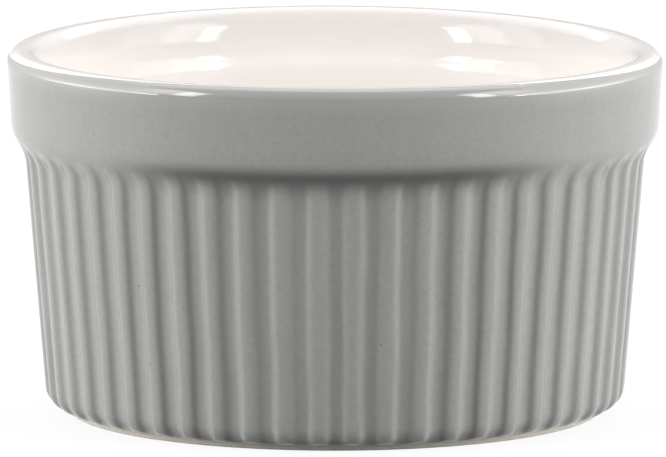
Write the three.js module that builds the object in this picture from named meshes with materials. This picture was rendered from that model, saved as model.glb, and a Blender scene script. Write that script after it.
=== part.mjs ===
// Creme brulee ramekin: a fluted stoneware dish, grey glazed outside and white glazed inside.
// Millimetres, +Z up. The origin is the middle of the foot, on the table, and a groove faces -Y.
import * as THREE from "three";

// Outside of the dish, over its glaze
const dishHeight = 50.3;
const rimRadius = 45; // widest, at the top of the plain band
const rimRound = 1.6; // outer edge of the rim
const bandHeight = 10.1; // plain band, from the rim to its lower edge
const bandTaper = 0.45; // how much narrower the band is at its lower edge
const bandStep = 2; // how far that edge stands out past the crests of the flutes
const coveHeight = 5.6; // hollow curve from the band in to the fluted wall
const baseRadius = 39.95; // crests of the flutes where the wall starts to round under
const baseRound = 2.9;

// Flutes
const fluteCount = 53;
const fluteDepth = 0.8;
const crestWidth = 1.9;
const grooveWidth = 1.6;
const footRunOut = 0.8; // height over which the flutes rise out of the rounding at the foot
const coveRunOut = 4.4; // height over which they fade into the cove

// Foot and underside
const footHeight = 0.8; // bare clay below the grey glaze
const footWidth = 3.4;
const recessDepth = 1.2;
const recessFlare = 0.85; // how far the recess's side leans in

// Inside of the dish, over its glaze
const landWidth = 0.8; // flat top of the rim
const lipWidth = 3; // rounding from the rim's flat top in to the collar
const lipDrop = 5.2;
const collarHeight = 1; // steep collar between the lip and the stacking ledge
const ledgeWidth = 0.7;
const ledgeHeight = 2.8;
const wallThickness = 4.2; // at the foot of the wall, crest to inside face
const floorThickness = 4.4;
const floorRound = 5;

// Glaze coats
const glazeThickness = 0.4;
const bondGap = 0.05; // hairline that keeps a coat and the clay apart as solids
const seamGap = 0.3; // bare line where a coat ends
const coatEdgeAngle = 60; // degrees up the rim's outer rounding where the grey coat ends

// Ring points in one flute's pitch: two on each crest and groove where the wall is fluted
const flutedPoints = 4;
const smoothPoints = 2;
const insidePoints = 1;

const leastShare = 0.1; // flutes shallower than this share of their depth are left smooth
const ogeeReach = 0.48; // share of an S-curve's height over which it leaves its end line
const sameTurn = 1e-9; // two ring points closer than this, in pitches, stand at one angle

const smoothstep = THREE.MathUtils.smoothstep;
const coatEdge = THREE.MathUtils.degToRad(coatEdgeAngle);
const pitch = (2 * Math.PI) / fluteCount;
const firstCrest = -Math.PI / 2 + pitch / 2;
const crestHalf = crestWidth / 2 / baseRadius / pitch;
const grooveHalf = grooveWidth / 2 / baseRadius / pitch;

// Phases of a ring's points inside one pitch, and which of them lie down in the groove
const ringPhases = {
  [flutedPoints]: [-crestHalf, crestHalf, 0.5 - grooveHalf, 0.5 + grooveHalf],
  [smoothPoints]: [0, 0.5],
  [insidePoints]: [0],
};
const inGroove = [false, false, true, true];

// Heights and radii that follow from the sizes above
const bandFootZ = dishHeight - bandHeight;
const bandFootRadius = rimRadius - bandTaper;
const wallTopZ = bandFootZ - coveHeight;
const wallTopRadius = bandFootRadius - bandStep;
const wallFootZ = footHeight + baseRound;
const rimCentre = new THREE.Vector2(rimRadius - rimRound, dishHeight - rimRound);
const lipTopRadius = rimCentre.x - landWidth;
const collarRadius = lipTopRadius - lipWidth;
const collarTopZ = dishHeight - lipDrop;
const ledgeTopZ = collarTopZ - collarHeight;
const ledgeFootZ = ledgeTopZ - ledgeHeight;
const innerTopRadius = collarRadius - ledgeWidth;
const innerFootRadius = baseRadius - wallThickness;
const floorZ = recessDepth + floorThickness;
const footRadius = baseRadius - baseRound - seamGap;

// Share of the full flute depth at a height: the flutes run out at the foot and in the cove.
function fluteShare(z) {
  const rise = smoothstep(z, footHeight, footHeight + footRunOut);
  const fade = smoothstep(z, wallTopZ, wallTopZ + coveRunOut);
  return rise * (1 - fade);
}

// Stations along a curve of the section: each has its point, outward normal and flute depth.
function stationsAlong(curve, steps, smoothRing) {
  const stations = [];
  for (let step = 0; step <= steps; step++) {
    const at = curve.getPoint(step / steps);
    const along = curve.getTangent(step / steps);
    const depth = smoothRing === insidePoints ? 0 : fluteDepth * fluteShare(at.y);
    const fluted = depth > fluteDepth * leastShare;
    stations.push({
      point: at,
      normal: new THREE.Vector2(along.y, -along.x),
      depth: fluted ? depth : 0,
      points: fluted ? flutedPoints : smoothRing,
    });
  }
  return stations;
}

// Curves that follow each other share their end points, so each but the last gives up its own.
function chain(...runs) {
  return runs.flatMap((run, index) => (index < runs.length - 1 ? run.slice(0, -1) : run));
}

function arc(centreX, centreY, radiusX, radiusY, start, end) {
  return new THREE.EllipseCurve(centreX, centreY, radiusX, radiusY, start, end, end < start);
}

function line(x0, y0, x1, y1) {
  return new THREE.LineCurve(new THREE.Vector2(x0, y0), new THREE.Vector2(x1, y1));
}

// An S-curve between two points that leaves and arrives along z.
function ogee(x0, y0, x1, y1, lean) {
  const reach = (y1 - y0) * ogeeReach;
  return new THREE.CubicBezierCurve(
    new THREE.Vector2(x0, y0),
    new THREE.Vector2(x0 + reach * lean, y0 + reach),
    new THREE.Vector2(x1 - reach * lean, y1 - reach),
    new THREE.Vector2(x1, y1),
  );
}

// Grey face of the section, from the foot up to the coat's edge on the rim.
function outsideStations() {
  const wallLean = (wallTopRadius - baseRadius) / (wallTopZ - wallFootZ);
  const baseCurve = arc(baseRadius - baseRound, wallFootZ, baseRound, baseRound, -Math.PI / 2, 0);
  const wallLine = line(baseRadius, wallFootZ, wallTopRadius, wallTopZ);
  const cove = ogee(wallTopRadius, wallTopZ, bandFootRadius, bandFootZ, wallLean);
  const bandLine = line(bandFootRadius, bandFootZ, rimRadius, rimCentre.y);
  const rimCurve = arc(rimCentre.x, rimCentre.y, rimRound, rimRound, 0, coatEdge);
  return chain(
    stationsAlong(baseCurve, 3, smoothPoints),
    stationsAlong(wallLine, 1, smoothPoints),
    stationsAlong(cove, 3, smoothPoints),
    stationsAlong(bandLine, 1, smoothPoints),
    stationsAlong(rimCurve, 2, smoothPoints),
  );
}

// White face of the section, from the coat's edge over the rim and down to the floor's middle.
function insideStations() {
  const seamAngle = seamGap / rimRound;
  const rimCurve = arc(
    rimCentre.x, rimCentre.y, rimRound, rimRound, coatEdge + seamAngle, Math.PI / 2,
  );
  const landLine = line(rimCentre.x, dishHeight, lipTopRadius, dishHeight);
  const lipCurve = arc(lipTopRadius, collarTopZ, lipWidth, lipDrop, Math.PI / 2, Math.PI);
  const collarLine = line(collarRadius, collarTopZ, collarRadius, ledgeTopZ);
  const ledge = ogee(collarRadius, ledgeTopZ, innerTopRadius, ledgeFootZ, 0);
  const wallLine = line(innerTopRadius, ledgeFootZ, innerFootRadius, floorZ + floorRound);
  const floorCurve = arc(
    innerFootRadius - floorRound, floorZ + floorRound, floorRound, floorRound, 0, -Math.PI / 2,
  );
  const floorLine = line(innerFootRadius - floorRound, floorZ, 0, floorZ);
  return [
    ...stationsAlong(rimCurve, 1, insidePoints).slice(0, 1),
    ...chain(
      stationsAlong(landLine, 1, insidePoints),
      stationsAlong(lipCurve, 3, insidePoints),
      stationsAlong(collarLine, 1, insidePoints),
      stationsAlong(ledge, 2, insidePoints),
      stationsAlong(wallLine, 1, insidePoints),
      stationsAlong(floorCurve, 3, insidePoints),
      stationsAlong(floorLine, 1, insidePoints),
    ),
  ];
}

// The same stations, set in from the face by a depth.
function setIn(stations, inset) {
  return stations.map((station) => ({
    ...station,
    point: station.point.clone().addScaledVector(station.normal, -inset),
  }));
}

function plainStation(radius, z, points) {
  return { point: new THREE.Vector2(radius, z), depth: 0, points };
}

// One ring of points round the axis at a station. On the axis it is a single point.
function ringAt(station) {
  const { point, depth, points } = station;
  if (point.x < bondGap) {
    return { z: point.y, phases: [], corners: [new THREE.Vector3(0, 0, point.y)] };
  }
  const phases = [];
  const corners = [];
  for (let flute = 0; flute < fluteCount; flute++) {
    ringPhases[points].forEach((phase, index) => {
      const angle = firstCrest + (flute + phase) * pitch;
      const radius = point.x - (points === flutedPoints && inGroove[index] ? depth : 0);
      phases.push(flute + phase);
      corners.push(new THREE.Vector3(radius * Math.cos(angle), radius * Math.sin(angle), point.y));
    });
  }
  return { z: point.y, phases, corners };
}

// Triangles between two rings, walked round by angle. Where both could step, the lower ring
// does so first, which splits the quads of two skins over one surface alike.
function stitch(first, second, triangles) {
  const count = [first.phases.length, second.phases.length];
  const rings = [first, second];
  const corner = (side, index) => rings[side].corners[index % rings[side].corners.length];
  const phase = (side, index) => {
    const turns = Math.floor(index / count[side]);
    return rings[side].phases[index % count[side]] + turns * fluteCount;
  };
  const at = [0, 0];
  while (at[0] < count[0] || at[1] < count[1]) {
    let side = at[0] < count[0] ? 0 : 1;
    if (at[0] < count[0] && at[1] < count[1]) {
      const lead = phase(0, at[0] + 1) - phase(1, at[1] + 1);
      const lower = first.z < second.z ? 0 : 1;
      side = Math.abs(lead) < sameTurn ? lower : Number(lead > 0);
    }
    triangles.push(corner(0, at[0]), corner(side, at[side] + 1), corner(1, at[1]));
    at[side] += 1;
  }
}

// A closed body through stations that start and end on the axis, or that run round in a loop.
function revolve(stations) {
  const rings = stations.map(ringAt);
  const triangles = [];
  rings.slice(1).forEach((ring, index) => stitch(rings[index], ring, triangles));
  if (rings[0].phases.length > 0) {
    stitch(rings[rings.length - 1], rings[0], triangles);
  }
  return new THREE.BufferGeometry().setFromPoints(triangles);
}

const grey = outsideStations();
const white = insideStations();
const clayInset = glazeThickness + bondGap;

// Clay: from the recess out over the foot ring, up under the grey coat and down under the white one.
function clayBody() {
  const footInnerRadius = footRadius - footWidth;
  return revolve([
    plainStation(0, recessDepth + clayInset, insidePoints),
    plainStation(footInnerRadius - recessFlare, recessDepth + clayInset, insidePoints),
    plainStation(footInnerRadius, 0, insidePoints),
    plainStation(footRadius, 0, insidePoints),
    plainStation(footRadius, footHeight + clayInset, insidePoints),
    ...setIn(grey, clayInset),
    ...setIn(white, clayInset),
  ]);
}

function outerGlaze() {
  return revolve([...grey, ...setIn(grey, glazeThickness).reverse()]);
}

function innerGlaze() {
  return revolve([...setIn(white, glazeThickness).reverse(), ...white]);
}

// Coat in the recess, a thin disc under the clay.
function baseGlaze() {
  const radius = footRadius - footWidth - recessFlare - seamGap;
  return revolve([
    plainStation(0, recessDepth, insidePoints),
    plainStation(radius, recessDepth, insidePoints),
    plainStation(radius, recessDepth + glazeThickness, insidePoints),
    plainStation(0, recessDepth + glazeThickness, insidePoints),
  ]);
}

function piece(name, geometry, color, roughness) {
  geometry.computeVertexNormals();
  const mesh = new THREE.Mesh(geometry, new THREE.MeshStandardMaterial({ color, roughness, metalness: 0 }));
  mesh.name = name;
  return mesh;
}

const dish = new THREE.Group();
dish.add(piece("clay_body", clayBody(), 0xcbbba3, 0.9));
dish.add(piece("outer_glaze", outerGlaze(), 0x9a9a98, 0.35));
dish.add(piece("inner_glaze", innerGlaze(), 0xf1eae3, 0.15));
dish.add(piece("base_glaze", baseGlaze(), 0x9a9a98, 0.35));

export default dish;
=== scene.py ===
import math

import bpy
import numpy as np
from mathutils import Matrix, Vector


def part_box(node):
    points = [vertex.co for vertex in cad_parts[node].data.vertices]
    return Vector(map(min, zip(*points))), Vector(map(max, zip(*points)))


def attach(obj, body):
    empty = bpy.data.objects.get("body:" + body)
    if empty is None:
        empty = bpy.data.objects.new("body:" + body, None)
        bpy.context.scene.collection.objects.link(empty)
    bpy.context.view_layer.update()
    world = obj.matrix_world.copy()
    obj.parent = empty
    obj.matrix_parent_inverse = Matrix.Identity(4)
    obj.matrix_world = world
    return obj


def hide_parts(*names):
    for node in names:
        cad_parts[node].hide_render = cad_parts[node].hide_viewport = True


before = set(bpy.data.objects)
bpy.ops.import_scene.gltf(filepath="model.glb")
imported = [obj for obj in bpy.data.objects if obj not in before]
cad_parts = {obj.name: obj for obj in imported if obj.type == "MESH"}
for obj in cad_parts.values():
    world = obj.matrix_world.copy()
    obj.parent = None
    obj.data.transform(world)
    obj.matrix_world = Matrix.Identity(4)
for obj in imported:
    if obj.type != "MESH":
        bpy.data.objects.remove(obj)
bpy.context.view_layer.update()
print("frame:", sorted(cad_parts))

mm = 0.001  # sections are drawn in millimetres, meshes are in metres
halfTurn = math.pi
quarterTurn = math.pi / 2
poleRadius = 0.4  # last ring of a section before it closes on the axis

# outside of the dish over its grey coat
outside = {
    "height": 50.3,  # to the highest point of the rim
    "rimRadius": 44.97,
    "rimRound": 1.6,
    "bandHeight": 10.1,
    "bandTaper": 0.45,
    "bandStep": 2.0,
    "coveHeight": 5.6,
    "coveReach": 0.48,
    "baseRadius": 39.95,
    "baseRound": 2.9,
    "footHeight": 0.8,
    "rimTilt": 0.17,  # how far the rim went out of level in the kiln
    "rimSaddle": 0.18,
}

# inside of the dish over its white coat
inside = {
    "landWidth": 0.8,  # flat top of the rim
    "lipWidth": 3.0,
    "lipDrop": 5.2,
    "collarHeight": 0.6,
    "ledgeWidth": 0.7,
    "ledgeHeight": 2.3,
    "ledgeReach": 0.4,
    "wallThickness": 4.2,
    "floorZ": 5.6,
    "floorRound": 5.0,
    "columns": 480,
}

flutes = {
    "count": 53,
    "depth": 0.77,
    "steep": 1.5,  # how square a rib is, near 0 for a plain wave
    "frontGroove": -quarterTurn,  # a groove faces the camera
    "footRunOut": 0.8,
    "coveRunOut": 4.2,
    "fullBelow": 0.4,  # the full depth ends this far below the cove's foot
    "samples": 22,  # columns for each flute
    "crowd": 0.6,  # how much closer the columns stand on the flanks
    "drift": 0.55,  # degrees that the flutes slide round, closer in some stretches than in others
    "driftAside": 0.45,  # share of the drift that differs from right to left
    "driftRest": 0.62,  # share taken off all round
    "wander": 0.12,  # how far a groove strays, in radians of its own wave
    "sway": 0.1,  # and how far it bends along its height
    "bendSlow": 0.21,  # radians of bend for each millimetre of height
    "bendQuick": 0.47,
    "bendShare": 0.6,  # of the quick bend beside the slow one
    "depthSpread": 0.06,
    "seed": 11,
}

coats = {
    "thickness": 0.4,
    "bond": 0.05,
    "edgeFront": 88.0,  # degrees up the rim's rounding where grey meets white
    "edgeSide": 36.0,
    "edgeWobble": 2.0,
    "edgeWaves": ((5, 0.7, 0.6), (11, 2.1, 0.4)),  # waves round the rim, their start and their share
    "creamRows": (1.0, 6.0),  # rows from the white coat's edge over which its cream tone ends
}


# straight run of count points from a to b: a (1 - t) + b t
def lineRun(a, b, count):
    t = np.linspace(0.0, 1.0, count)[:, None]
    return np.asarray(a) * (1 - t) + np.asarray(b) * t


# part of an ellipse: centre + radii * (cos, sin) between two angles
def arcRun(centre, radii, start, end, count):
    a = np.linspace(start, end, count)
    return np.stack([centre[0] + radii[0] * np.cos(a), centre[1] + radii[1] * np.sin(a)], axis=-1)


# S-curve: a cubic that leaves a and reaches b along lines of the given lean (radius per height)
def ogeeRun(a, b, leanA, leanB, reach, count):
    t = np.linspace(0.0, 1.0, count)[:, None]
    a, b = np.asarray(a), np.asarray(b)
    step = (b[1] - a[1]) * reach
    c = a + step * np.array([leanA, 1.0])
    d = b - step * np.array([leanB, 1.0])
    return a * (1 - t) ** 3 + 3 * c * t * (1 - t) ** 2 + 3 * d * t ** 2 * (1 - t) + b * t ** 3


# runs end to end, without the doubled points
def joinRuns(*runs):
    return np.concatenate([runs[0]] + [run[1:] for run in runs[1:]])


# 0 below low and 1 above high, with 3 t squared less 2 t cubed between
def smoothStep(x, low, high):
    t = np.clip((x - low) / (high - low), 0.0, 1.0)
    return t * t * (3 - 2 * t)


# section of the grey face from the foot up to the widest point, as (radius, height) rows: an arc under the
# wall, a straight wall, an S-curve for the cove and a straight band
def outsideSection():
    o = outside
    bandFoot = np.array([o["rimRadius"] - o["bandTaper"], o["height"] - o["bandHeight"]])
    wallTop = bandFoot - np.array([o["bandStep"], o["coveHeight"]])
    wallFootZ = o["footHeight"] + o["baseRound"]
    wallLean = (wallTop[0] - o["baseRadius"]) / (wallTop[1] - wallFootZ)
    bandLean = o["bandTaper"] / (o["bandHeight"] - o["rimRound"])
    tilt = math.atan(wallLean)
    arcEndZ = wallFootZ - o["baseRound"] * math.sin(tilt)
    arcEndR = o["baseRadius"] + wallLean * (arcEndZ - wallFootZ)
    centre = (arcEndR - o["baseRound"] * math.cos(tilt), wallFootZ)
    under = arcRun(centre, (o["baseRound"],) * 2, -quarterTurn, -tilt, 16)
    wall = lineRun(under[-1], wallTop, 14)
    cove = ogeeRun(wallTop, bandFoot, wallLean, bandLean, o["coveReach"], 20)
    band = lineRun(bandFoot, (o["rimRadius"], o["height"] - o["rimRound"]), 5)
    return joinRuns(under, wall, cove, band)


# the rim's outer rounding, centre + round * (cos, sin), between angles that may differ from column to column
def rimRows(start, end, count):
    o = outside
    centre = (o["rimRadius"] - o["rimRound"], o["height"] - o["rimRound"])
    t = np.linspace(0.0, 1.0, count)[:, None]
    a = np.radians(start) * (1 - t) + np.radians(end) * t
    return centre[0] + o["rimRound"] * np.cos(a), centre[1] + o["rimRound"] * np.sin(a)


# section of the white face from the rim's top line down to the middle of the floor: a flat land, a quarter
# ellipse for the lip, a straight collar, an S-curve for the ledge, a straight wall and an arc into the floor
def insideSection():
    o, i = outside, inside
    rimTop = np.array([o["rimRadius"] - o["rimRound"], o["height"]])
    lipTop = rimTop - np.array([i["landWidth"], 0.0])
    collarTop = lipTop - np.array([i["lipWidth"], i["lipDrop"]])
    ledgeTop = collarTop - np.array([0.0, i["collarHeight"]])
    ledgeFoot = ledgeTop - np.array([i["ledgeWidth"], i["ledgeHeight"]])
    footRadius = o["baseRadius"] - i["wallThickness"]
    footZ = i["floorZ"] + i["floorRound"]
    wallLean = (ledgeFoot[0] - footRadius) / (ledgeFoot[1] - footZ)
    tilt = math.atan(wallLean)
    centre = (footRadius - i["floorRound"], footZ)
    land = lineRun(rimTop, lipTop, 5)
    lip = arcRun((lipTop[0], collarTop[1]), (i["lipWidth"], i["lipDrop"]), quarterTurn, halfTurn, 30)
    collar = lineRun(collarTop, ledgeTop, 8)
    ledge = ogeeRun(ledgeTop, ledgeFoot, 0.0, wallLean, i["ledgeReach"], 24)
    corner = arcRun(centre, (i["floorRound"],) * 2, -tilt, -quarterTurn, 24)
    wall = lineRun(ledgeFoot, corner[0], 16)
    floor = lineRun(corner[-1], (poleRadius, i["floorZ"]), 10)
    return joinRuns(land, lip, collar, ledge, wall, corner, floor)


# share of the full flute depth at each height: a smooth step up at the foot, times one down in the cove
def fluteShare(z):
    o, f = outside, flutes
    wallTopZ = o["height"] - o["bandHeight"] - o["coveHeight"]
    rise = smoothStep(z, o["footHeight"], o["footHeight"] + f["footRunOut"])
    return rise * (1 - smoothStep(z, wallTopZ - f["fullBelow"], wallTopZ + f["coveRunOut"]))


# slow slide of the flutes round the dish: a cosine of twice the turn from the front, less a sine of it
def fluteDrift(theta):
    f = flutes
    turn = theta - f["frontGroove"]
    return math.radians(f["drift"]) * (np.cos(2 * turn) - f["driftAside"] * np.sin(turn) - f["driftRest"])


# wave round the dish: 0 on a rib, 1 in a groove, a cosine squared up by tanh. Each groove is a little
# off its even place, and two slow sines of the height bend it
def fluteWave(theta, z):
    f = flutes
    theta = theta - fluteDrift(theta)
    rng = np.random.default_rng(f["seed"])
    even = f["frontGroove"] + 2 * halfTurn * np.arange(f["count"]) / f["count"]
    stray = rng.normal(0.0, f["wander"], f["count"])
    depth = 1 + rng.normal(0.0, f["depthSpread"], f["count"])
    start = np.interp(theta, even, rng.uniform(0.0, 2 * halfTurn, f["count"]), period=2 * halfTurn)
    bend = np.sin(f["bendSlow"] * z + start) + f["bendShare"] * np.sin(f["bendQuick"] * z + 2 * start)
    phase = f["count"] * (theta - f["frontGroove"]) + np.interp(theta, even, stray, period=2 * halfTurn)
    wave = np.tanh(f["steep"] * np.cos(phase + f["sway"] * bend)) / math.tanh(f["steep"])
    return 0.5 * (1 + wave) * np.interp(theta, even, depth, period=2 * halfTurn)


# angle up the rim's rounding where the coats meet: from high at front and back to low at the sides by the
# square of the cosine, with two sines for a wobble
def coatEdge(theta):
    c = coats
    sideways = np.cos(theta) ** 2
    wobble = sum(share * np.sin(waves * theta + start) for waves, start, share in c["edgeWaves"])
    return c["edgeFront"] + (c["edgeSide"] - c["edgeFront"]) * sideways + c["edgeWobble"] * wobble


# outward normals of section rows: the row to row direction turned a quarter turn
def sectionNormals(r, z):
    dr, dz = np.gradient(r, axis=0), np.gradient(z, axis=0)
    length = np.hypot(dr, dz)
    return dz / length, -dr / length


# the same rows set in from the face
def setIn(r, z, depth):
    nr, nz = sectionNormals(r, z)
    return r - nr * depth, z - nz * depth


# how far the rim has sunk at each angle: a tilt to the right and a saddle, 0 at the highest point
def rimSway(theta):
    sway = -outside["rimTilt"] * np.cos(theta) - outside["rimSaddle"] * np.cos(2 * theta)
    return sway - sway.max()


# rows of radius and height carried round the axis: x = r cos, y = r sin, with the sway from the band up
def turnedPoints(r, z, theta):
    bandFootZ = outside["height"] - outside["bandHeight"]
    z = z + smoothStep(z, bandFootZ - outside["coveHeight"], outside["height"]) * rimSway(theta)
    r, z = np.broadcast_arrays(r, z)
    return np.stack([r * np.cos(theta), r * np.sin(theta), z], axis=-1) * mm


# closed mesh over a grid of points: columns wrap, and rows wrap too or end in a point at each pole
def gridMesh(name, points, poles):
    rows, cols = points.shape[:2]
    i, j = np.meshgrid(np.arange(rows - 1 if poles else rows), np.arange(cols), indexing="ij")
    up, right = (i + 1) % rows, (j + 1) % cols
    quads = np.stack([i * cols + j, i * cols + right, up * cols + right, up * cols + j], axis=-1).reshape(-1, 4)
    vertices = points.reshape(-1, 3)
    faces = quads.tolist()
    if poles:
        first, last = points[0].mean(axis=0), points[-1].mean(axis=0)
        vertices = np.concatenate([vertices, [first, last]])
        ring = np.arange(cols)
        after = (ring + 1) % cols
        foot, top = len(vertices) - 2, len(vertices) - 1
        start = (rows - 1) * cols
        faces += np.stack([np.full(cols, foot), after, ring], axis=-1).tolist()
        faces += np.stack([np.full(cols, top), start + ring, start + after], axis=-1).tolist()
    mesh = bpy.data.meshes.new(name)
    mesh.from_pydata(vertices.tolist(), [], faces)
    mesh.polygons.foreach_set("use_smooth", np.ones(len(mesh.polygons), dtype=bool))
    mesh.update()
    return mesh


# a number for each vertex, which the finish reads as an attribute
def addAttribute(mesh, name, values):
    full = np.zeros(len(mesh.vertices), dtype=np.float32)
    full[: values.size] = values.ravel()
    mesh.attributes.new(name, "FLOAT", "POINT").data.foreach_set("value", full)


def addPiece(name, mesh, node, finish):
    piece = bpy.data.objects.new(name, mesh)
    bpy.context.collection.objects.link(piece)
    mesh.materials.append(finish)
    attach(piece, "root")
    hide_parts(node)
    print(name, "has", len(mesh.polygons), "faces")
    return piece


def newFinish(name):
    finish = bpy.data.materials.new(name)
    finish.use_nodes = True
    tree = finish.node_tree
    shader = tree.nodes["Principled BSDF"]
    coords = tree.nodes.new("ShaderNodeTexCoord")
    return finish, tree, shader, coords.outputs["Object"]


def addNoise(tree, vector, scale, detail, roughness=0.5):
    node = tree.nodes.new("ShaderNodeTexNoise")
    node.inputs["Scale"].default_value = scale
    node.inputs["Detail"].default_value = detail
    node.inputs["Roughness"].default_value = roughness
    tree.links.new(vector, node.inputs["Vector"])
    return node.outputs["Fac"]


def addRange(tree, value, fromLow, fromHigh, toLow, toHigh):
    node = tree.nodes.new("ShaderNodeMapRange")
    for key, number in (("From Min", fromLow), ("From Max", fromHigh), ("To Min", toLow), ("To Max", toHigh)):
        node.inputs[key].default_value = number
    tree.links.new(value, node.inputs["Value"])
    return node.outputs["Result"]


def addMix(tree, factor, a, b):
    node = tree.nodes.new("ShaderNodeMix")
    node.data_type = "RGBA"
    tree.links.new(factor, node.inputs["Factor"])
    for key, colour in (("A", a), ("B", b)):
        socket = next(s for s in node.inputs if s.name == key and s.type == "RGBA")
        if isinstance(colour, tuple):
            socket.default_value = (*colour, 1.0)
        else:
            tree.links.new(colour, socket)
    return next(s for s in node.outputs if s.type == "RGBA")


def addGreater(tree, a, b):
    node = tree.nodes.new("ShaderNodeMath")
    node.operation = "MAXIMUM"
    tree.links.new(a, node.inputs[0])
    tree.links.new(b, node.inputs[1])
    return node.outputs[0]


def addAttributeValue(tree, name):
    node = tree.nodes.new("ShaderNodeAttribute")
    node.attribute_name = name
    return node.outputs["Fac"]


def addBump(tree, height, strength, distance):
    node = tree.nodes.new("ShaderNodeBump")
    node.inputs["Strength"].default_value = strength
    node.inputs["Distance"].default_value = distance
    tree.links.new(height, node.inputs["Height"])
    return node.outputs["Normal"]


greyLook = {
    "smooth": (0.2855, 0.289, 0.2775),
    "streak": (0.2725, 0.276, 0.2645),
    "grain": (0.231, 0.234, 0.224),
    # painted shade: the dark tone for the cove under the band and the foot edge, at front and back
    "paintedShade": (0.065, 0.065, 0.062),
    # paler tone towards the rim's top
    "thin": (0.345, 0.338, 0.326),
    "pit": (0.13, 0.13, 0.125),
    "roughLow": 0.07,
    "roughHigh": 0.11,
    "roughDry": 0.6,
    "streakScale": 260.0,
    "streakSquash": 0.12,  # up and down, so that streaks run down the wall
    "cloudScale": 120.0,
    "grainScale": 1500.0,
    "pitScale": 900.0,
    "rippleScale": 220.0,
    "rippleStrength": 0.05,
    "rippleHeight": 0.0002,
}


# satin grey: soft streaks down the wall, painted shade in the cove and at the foot edge at front and back,
# paler towards the rim's top, a few pits
def greyFinish():
    g = greyLook
    finish, tree, shader, coords = newFinish("satinGrey")
    run = tree.nodes.new("ShaderNodeMapping")
    run.inputs["Scale"].default_value = (1.0, 1.0, g["streakSquash"])
    tree.links.new(coords, run.inputs["Vector"])
    streak = addNoise(tree, run.outputs["Vector"], g["streakScale"], 3.0)
    cloud = addNoise(tree, coords, g["cloudScale"], 2.0)
    grain = addNoise(tree, coords, g["grainScale"], 3.0, 0.6)
    pit = addNoise(tree, coords, g["pitScale"], 1.0)
    ripple = addNoise(tree, coords, g["rippleScale"], 2.0)
    streaked = addMix(tree, addRange(tree, streak, 0.35, 0.7, 0.0, 1.0), g["smooth"], g["streak"])
    grained = addMix(tree, addRange(tree, grain, 0.4, 0.75, 0.0, 0.5), streaked, g["grain"])
    # painted shade mixed in where the cove and the foot edge fall into shade at front and back
    paintedShade = addMix(tree, addAttributeValue(tree, "paintedShadeShare"), grained, g["paintedShade"])
    thinned = addMix(tree, addAttributeValue(tree, "thin"), paintedShade, g["thin"])
    colour = addMix(tree, addRange(tree, pit, 0.8, 0.84, 0.0, 0.8), thinned, g["pit"])
    tree.links.new(colour, shader.inputs["Base Color"])
    satin = addRange(tree, cloud, 0.3, 0.7, g["roughLow"], g["roughHigh"])
    dry = addRange(tree, addAttributeValue(tree, "dry"), 0.0, 1.0, 0.0, g["roughDry"])
    tree.links.new(addGreater(tree, satin, dry), shader.inputs["Roughness"])
    tree.links.new(addBump(tree, ripple, g["rippleStrength"], g["rippleHeight"]), shader.inputs["Normal"])
    return finish


whiteLook = {
    "milk": (0.853, 0.812, 0.788),
    "cream": (0.79, 0.75, 0.715),
    # painted shade: a darker tone for the back of the lip
    "backShade": (0.6, 0.58, 0.565),
    "gloss": 0.26,
    "roughLow": 0.05,
    "roughHigh": 0.08,
    "cloudScale": 160.0,
    "rippleScale": 350.0,
    "rippleStrength": 0.06,
    "rippleHeight": 0.0001,
}


# glossy warm white: thinner and creamier at the rim's edge, painted shade at the back of the lip, faint cloud
def whiteFinish():
    w = whiteLook
    finish, tree, shader, coords = newFinish("glossWhite")
    cloud = addNoise(tree, coords, w["cloudScale"], 4.0, 0.55)
    ripple = addNoise(tree, coords, w["rippleScale"], 2.0)
    clouded = addMix(tree, addRange(tree, cloud, 0.35, 0.75, 0.0, 0.25), w["milk"], w["cream"])
    creamed = addMix(tree, addAttributeValue(tree, "edge"), clouded, w["cream"])
    # painted shade at the back of the lip mixed in
    colour = addMix(tree, addAttributeValue(tree, "backShade"), creamed, w["backShade"])
    shader.inputs["Specular IOR Level"].default_value = w["gloss"]
    tree.links.new(colour, shader.inputs["Base Color"])
    tree.links.new(addRange(tree, cloud, 0.3, 0.7, w["roughLow"], w["roughHigh"]), shader.inputs["Roughness"])
    tree.links.new(addBump(tree, ripple, w["rippleStrength"], w["rippleHeight"]), shader.inputs["Normal"])
    return finish


clayLook = {
    "biscuit": (0.56, 0.515, 0.455),
    "sand": (0.45, 0.405, 0.345),
    "roughness": 0.85,
    "grainScale": 1400.0,
    "grainStrength": 0.4,
    "grainHeight": 0.0001,
}


# bare fired stoneware: sandy grain with darker grit
def clayFinish():
    c = clayLook
    finish, tree, shader, coords = newFinish("bareStoneware")
    grain = addNoise(tree, coords, c["grainScale"], 6.0, 0.7)
    colour = addMix(tree, addRange(tree, grain, 0.4, 0.72, 0.0, 0.8), c["biscuit"], c["sand"])
    tree.links.new(colour, shader.inputs["Base Color"])
    shader.inputs["Roughness"].default_value = c["roughness"]
    tree.links.new(addBump(tree, grain, c["grainStrength"], c["grainHeight"]), shader.inputs["Normal"])
    return finish


greyGlaze = greyFinish()
whiteGlaze = whiteFinish()
bareClay = clayFinish()
print("finishes ready")


# even angles once round the axis
def aroundAngles(columns):
    return np.arange(columns) * (2 * halfTurn / columns)


# columns for the fluted wall: even steps t round each flute, pushed to its flanks by a sine of 2 t
def fluteAngles():
    f = flutes
    t = aroundAngles(f["samples"])
    within = t + 0.5 * f["crowd"] * np.sin(2 * t)
    turn = aroundAngles(f["count"])[:, None]
    theta = f["frontGroove"] + (turn + within / f["count"]).ravel()
    return theta + fluteDrift(theta)


# faces that stay hidden keep one row or column in so many
hiddenSteps = {
    "greyBack": 5,
    "whiteBack": 4,
    "clayOuter": 3,
    "clayInner": 4,
    "clayColumns": 2,
}


# every few rows and always the last
def fewRows(count, step):
    return np.append(np.arange(0, count - 1, step), count - 1)


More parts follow.
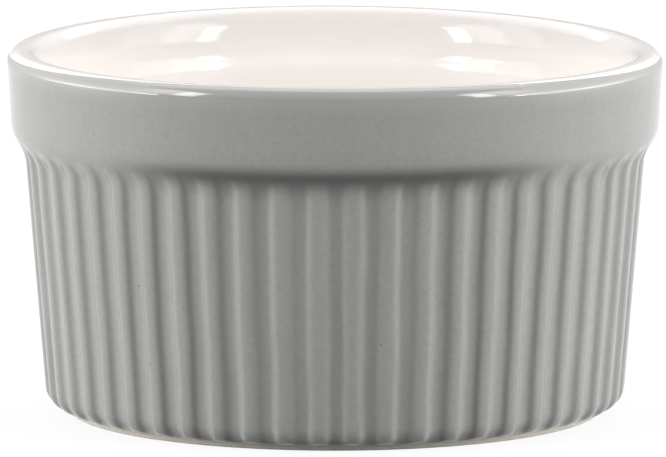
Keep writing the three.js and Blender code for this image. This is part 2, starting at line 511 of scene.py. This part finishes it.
# all rows of the grey face round the dish: the fluted section, then the rim up to the coat's edge
def greyFace(theta):
    section = outsideSection()
    height = section[:, 1:]
    groove = fluteShare(height) * fluteWave(theta, height)
    rimR, rimZ = rimRows(0.0, coatEdge(theta), 12)
    r = np.concatenate([np.broadcast_to(section[:, :1], groove.shape), rimR[1:]])
    z = np.concatenate([np.broadcast_to(section[:, 1:], groove.shape), rimZ[1:]])
    return r, z, np.concatenate([groove, np.zeros_like(rimR[1:])])


# all rows of the white face: the rest of the rim's rounding, then the inside
def whiteFace(theta):
    section = insideSection()
    shape = (len(section), len(theta))
    rimR, rimZ = rimRows(coatEdge(theta), 90.0, 10)
    r = np.concatenate([rimR[:-1], np.broadcast_to(section[:, :1], shape)])
    z = np.concatenate([rimZ[:-1], np.broadcast_to(section[:, 1:], shape)])
    return r, z


# shares of painted shade in the cove and at the foot, of the paler rim top and of dry glaze
coatShares = {
    "belowBand": 2.15,  # height of the painted shade line under the band's lower edge
    "spread": 1.35,
    "inGroove": 1.0,  # how much lower it sits in a groove
    "amount": 0.95,
    "footAmount": 0.78,
    "footSpread": 0.9,
    "frontFrom": 0.68,  # sine of the turn at which both set in and are full, at front and back alike
    "frontFull": 0.95,
    "thinFrom": 2.1,  # depths below the rim's top at which the coat starts to turn paler and is palest
    "thinFull": 0.9,
    "dryFrom": 0.42,  # cosine of the turn at which the paler top starts to dry and is dry
    "dryFull": 0.72,
}


# share of painted shade, put where the cove under the band and the foot edge fall into shade: a bell curve
# round a line in the cove and one at the foot edge, both fading out towards the sides by a smooth step
def paintedShadeMask(theta, z, groove):
    p = coatShares
    line = outside["height"] - outside["bandHeight"] - p["belowBand"] - p["inGroove"] * groove
    cove = p["amount"] * np.exp(-(((z - line) / p["spread"]) ** 2))
    edge = p["footAmount"] * np.exp(-(((z - outside["footHeight"]) / p["footSpread"]) ** 2))
    share = smoothStep(np.abs(np.sin(theta)), p["frontFrom"], p["frontFull"])
    return share * np.maximum(cove, edge)


# share of the paler tone: a smooth step up towards the rim's top
def thinGlaze(z):
    p = coatShares
    return smoothStep(z, outside["height"] - p["thinFrom"], outside["height"] - p["thinFull"])


# share of dry glaze: the share of the paler tone times a smooth step towards the sides
def dryGlaze(theta, z):
    return thinGlaze(z) * smoothStep(np.abs(np.cos(theta)), coatShares["dryFrom"], coatShares["dryFull"])


# the fluted face, then a back face set in from it, as one closed loop of rows
def makeGreyCoat():
    theta = fluteAngles()
    r, z, groove = greyFace(theta)
    backR, backZ = setIn(r, z, coats["thickness"])
    kept = fewRows(len(r), hiddenSteps["greyBack"])[::-1]
    depth = flutes["depth"] * groove
    shellR = np.concatenate([r - depth, (backR - depth)[kept]])
    shellZ = np.concatenate([z, backZ[kept]])
    mesh = gridMesh("greyCoat", turnedPoints(shellR, shellZ, theta), poles=False)
    # the first share is painted shade in the cove and at the foot edge
    shares = {"paintedShadeShare": paintedShadeMask(theta, z, groove), "thin": thinGlaze(z), "dry": dryGlaze(theta, z)}
    for key, share in shares.items():
        addAttribute(mesh, key, np.concatenate([share, share[kept]]))
    return addPiece("greyCoat", mesh, "outer_glaze", greyGlaze)


# painted shade at the back of the lip: its share, how far it runs and where it starts
lipShade = {
    "amount": 0.65,
    "runOut": 2.0,  # how far it goes on below the lip
    "from": -0.2,  # sine of the turn at which it sets in, on its way to 1 at the back
}


# share of painted shade on the white: a smooth step up the lip times a smooth step towards the back
def backLipShade(theta, z):
    w = lipShade
    lip = smoothStep(z, outside["height"] - inside["lipDrop"] - w["runOut"], outside["height"])
    return w["amount"] * lip * smoothStep(np.sin(theta), w["from"], 1.0)


# a back face from the floor's middle out to the rim, then the white face back in again
def makeWhiteCoat():
    theta = aroundAngles(inside["columns"])
    r, z = whiteFace(theta)
    backR, backZ = setIn(r, z, coats["thickness"])
    kept = fewRows(len(r), hiddenSteps["whiteBack"])[::-1]
    shellR, shellZ = np.concatenate([backR[kept], r]), np.concatenate([backZ[kept], z])
    mesh = gridMesh("whiteCoat", turnedPoints(shellR, shellZ, theta), poles=True)
    nearEdge = 1 - smoothStep(np.arange(len(r)), *coats["creamRows"])
    edge = np.concatenate([nearEdge[kept], nearEdge])[:, None]
    addAttribute(mesh, "edge", np.broadcast_to(edge, shellR.shape))
    # painted shade at the back of the lip
    addAttribute(mesh, "backShade", backLipShade(theta, shellZ))
    return addPiece("whiteCoat", mesh, "inner_glaze", whiteGlaze)


foot = {
    "gap": 0.3,
    "width": 3.4,
    "recessDepth": 1.2,
    "recessFlare": 0.85,
    "edgeRound": 0.35,
}


# underside of the clay, from the middle of the recess out over the foot ring to its outer side: straight runs
# with a quarter circle at each edge of the ring
def undersideSection(footRadius, clayInset):
    f = foot
    innerRadius = footRadius - f["width"]
    ceiling = f["recessDepth"] + clayInset
    e = f["edgeRound"]
    flat = lineRun((poleRadius, ceiling), (innerRadius - f["recessFlare"], ceiling), 8)
    slope = lineRun(flat[-1], (innerRadius, e), 6)
    innerEdge = arcRun((innerRadius + e, e), (e, e), halfTurn, 1.5 * halfTurn, 6)
    ring = lineRun(innerEdge[-1], (footRadius - e, 0.0), 6)
    outerEdge = arcRun((footRadius - e, e), (e, e), -quarterTurn, 0.0, 6)
    side = lineRun(outerEdge[-1], (footRadius, outside["footHeight"] + clayInset), 4)
    return joinRuns(flat, slope, innerEdge, ring, outerEdge, side)


# the underside, then the grey face and the white face, both set in by a coat and its bond
def makeClayBody():
    inset = coats["thickness"] + coats["bond"]
    theta = fluteAngles()[::hiddenSteps["clayColumns"]]
    greyR, greyZ, groove = greyFace(theta)
    clayR, clayZ = setIn(greyR, greyZ, inset)
    whiteR, whiteZ = setIn(*whiteFace(theta), inset)
    under = undersideSection(clayR[0].min() - foot["gap"], inset)
    shape = (len(under), len(theta))
    outer = fewRows(len(clayR), hiddenSteps["clayOuter"])
    inner = fewRows(len(whiteR), hiddenSteps["clayInner"])[1:]
    clayR = clayR - flutes["depth"] * groove
    r = np.concatenate([np.broadcast_to(under[:, :1], shape), clayR[outer], whiteR[inner]])
    z = np.concatenate([np.broadcast_to(under[:, 1:], shape), clayZ[outer], whiteZ[inner]])
    mesh = gridMesh("stonewareBody", turnedPoints(r, z, theta), poles=True)
    return addPiece("stonewareBody", mesh, "clay_body", bareClay)


baseDisc = {
    "columns": 200,
    "points": 12,  # along each part of its section
}


# a flat disc that fills its node's box: a straight run out, a half circle for its edge, a straight run back
def makeBaseCoat():
    count = baseDisc["points"]
    low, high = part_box("base_glaze")
    radius, bottom, top = high[0] / mm, low[2] / mm, high[2] / mm
    edge = (top - bottom) / 2
    lower = lineRun((poleRadius, bottom), (radius - edge, bottom), count)
    bead = arcRun((radius - edge, bottom + edge), (edge, edge), -quarterTurn, quarterTurn, count)
    upper = lineRun(bead[-1], (poleRadius, top), count)
    section = joinRuns(lower, bead, upper)
    theta = aroundAngles(baseDisc["columns"])
    points = turnedPoints(section[:, :1] * np.ones_like(theta), section[:, 1:], theta)
    mesh = gridMesh("baseCoat", points, poles=True)
    for key in ("paintedShadeShare", "thin", "dry"):
        addAttribute(mesh, key, np.zeros(len(mesh.vertices)))
    return addPiece("baseCoat", mesh, "base_glaze", greyGlaze)


makeClayBody()
makeGreyCoat()
makeWhiteCoat()
makeBaseCoat()
print("pieces ready")

view = {
    "distance": 1800.0,
    "elevation": 8.36,
    "targetZ": 25.0,
    "focal": 13083.0,  # focal length in pixels of the photograph's frame
    "imageWidth": 666,
    "centreShift": 2.0,  # pixels that the dish stands right of the frame's middle
    "sensor": 36.0,
    "clipEnd": 20.0,  # metres
}


def addCamera():
    v = view
    lens = bpy.data.cameras.new("photoCamera")
    lens.sensor_width = v["sensor"]
    lens.lens = v["focal"] / v["imageWidth"] * v["sensor"]
    lens.shift_x = -v["centreShift"] / v["imageWidth"]
    lens.clip_end = v["clipEnd"]
    camera = bpy.data.objects.new("photoCamera", lens)
    tilt = math.radians(v["elevation"])
    reach = v["distance"] * mm
    camera.location = (0.0, -reach * math.cos(tilt), v["targetZ"] * mm + reach * math.sin(tilt))
    camera.rotation_euler = (quarterTurn - tilt, 0.0, 0.0)
    bpy.context.collection.objects.link(camera)
    bpy.context.scene.camera = camera


studio = {
    "roomLight": 0.02,
    "floorBounce": 0.3,
    "floorPale": 0.95,
    "floorGlow": 0.9,
    "floorReach": 6.0,  # metres each way
    "floorDrop": 0.02,  # millimetres, just clear of the foot ring
    "distance": 1.2,
}

# softboxes on both sides: degrees round from the camera, degrees up, size in metres, watts
softboxes = {
    "key": (53.5, 22.5, (0.17, 0.66), 4.4),
    "fill": (66.0, 27.0, (0.4, 0.76), 3.7),
    "side": (80.0, 28.0, (0.7, 0.9), 4.4),
    "low": (84.0, 0.8, (0.9, 0.05), 7.2),
    "rear": (108.0, 0.8, (0.6, 0.05), 3.6),
}
# single panels behind the dish, in the same order
panels = {
    "backPanel": (180.0, 15.0, (2.0, 0.87), 1.7),
    "highPanel": (180.0, 56.0, (2.2, 1.2), 19.5),
}


# a softbox that looks at the dish from an azimuth off the camera's side and an elevation
def addSoftbox(name, azimuth, elevation, size, power):
    lamp = bpy.data.lights.new(name, "AREA")
    lamp.shape = "RECTANGLE"
    lamp.size, lamp.size_y = size
    lamp.energy = power
    lampObject = bpy.data.objects.new(name, lamp)
    a, e = math.radians(azimuth), math.radians(elevation)
    place = np.array([math.sin(a) * math.cos(e), -math.cos(a) * math.cos(e), math.sin(e)])
    lampObject.location = place * studio["distance"] + np.array([0.0, 0.0, view["targetZ"] * mm])
    lampObject.rotation_euler = (quarterTurn - e, 0.0, a)
    lampObject.visible_camera = False
    bpy.context.collection.objects.link(lampObject)


def addDiffuse(tree, grey):
    node = tree.nodes.new("ShaderNodeBsdfDiffuse")
    node.inputs["Color"].default_value = (grey, grey, grey, 1.0)
    return node.outputs["BSDF"]


def addShaderMix(tree, first, second):
    node = tree.nodes.new("ShaderNodeMixShader")
    tree.links.new(first, node.inputs[1])
    tree.links.new(second, node.inputs[2])
    return node


# 1 where the camera, a reflection or a clear material looks, 0 for light that bounces
def addSeen(tree):
    path = tree.nodes.new("ShaderNodeLightPath")
    seen = path.outputs["Is Camera Ray"]
    for key in ("Is Glossy Ray", "Is Transmission Ray"):
        seen = addGreater(tree, seen, path.outputs[key])
    return seen


# white to look at, with a faint shadow, and a grey card to the light
def addFloor():
    reach, low = studio["floorReach"], -studio["floorDrop"] * mm
    mesh = bpy.data.meshes.new("floor")
    corners = [(-reach, -reach, low), (reach, -reach, low), (reach, reach, low), (-reach, reach, low)]
    mesh.from_pydata(corners, [], [(0, 1, 2, 3)])
    floor = bpy.data.objects.new("floor", mesh)
    bpy.context.collection.objects.link(floor)
    finish = bpy.data.materials.new("paleFloor")
    finish.use_nodes = True
    tree = finish.node_tree
    tree.nodes.remove(tree.nodes["Principled BSDF"])
    glow = tree.nodes.new("ShaderNodeEmission")
    glow.inputs["Strength"].default_value = 1.0
    pale = addShaderMix(tree, addDiffuse(tree, studio["floorPale"]), glow.outputs["Emission"])
    pale.inputs["Fac"].default_value = studio["floorGlow"]
    surface = addShaderMix(tree, addDiffuse(tree, studio["floorBounce"]), pale.outputs["Shader"])
    tree.links.new(addSeen(tree), surface.inputs["Fac"])
    tree.links.new(surface.outputs["Shader"], tree.nodes["Material Output"].inputs["Surface"])
    mesh.materials.append(finish)


def addRoomLight():
    world = bpy.data.worlds.new("studioRoom")
    bpy.context.scene.world = world
    world.use_nodes = True
    background = world.node_tree.nodes["Background"]
    background.inputs["Color"].default_value = (1.0, 1.0, 1.0, 1.0)
    background.inputs["Strength"].default_value = studio["roomLight"]


addCamera()
addFloor()
addRoomLight()
for name, (azimuth, elevation, size, power) in softboxes.items():
    addSoftbox(name + "Right", azimuth, elevation, size, power)
    addSoftbox(name + "Left", -azimuth, elevation, size, power)
for name, panel in panels.items():
    addSoftbox(name, *panel)
bpy.context.scene.view_settings.view_transform = "Standard"
print("studio ready")
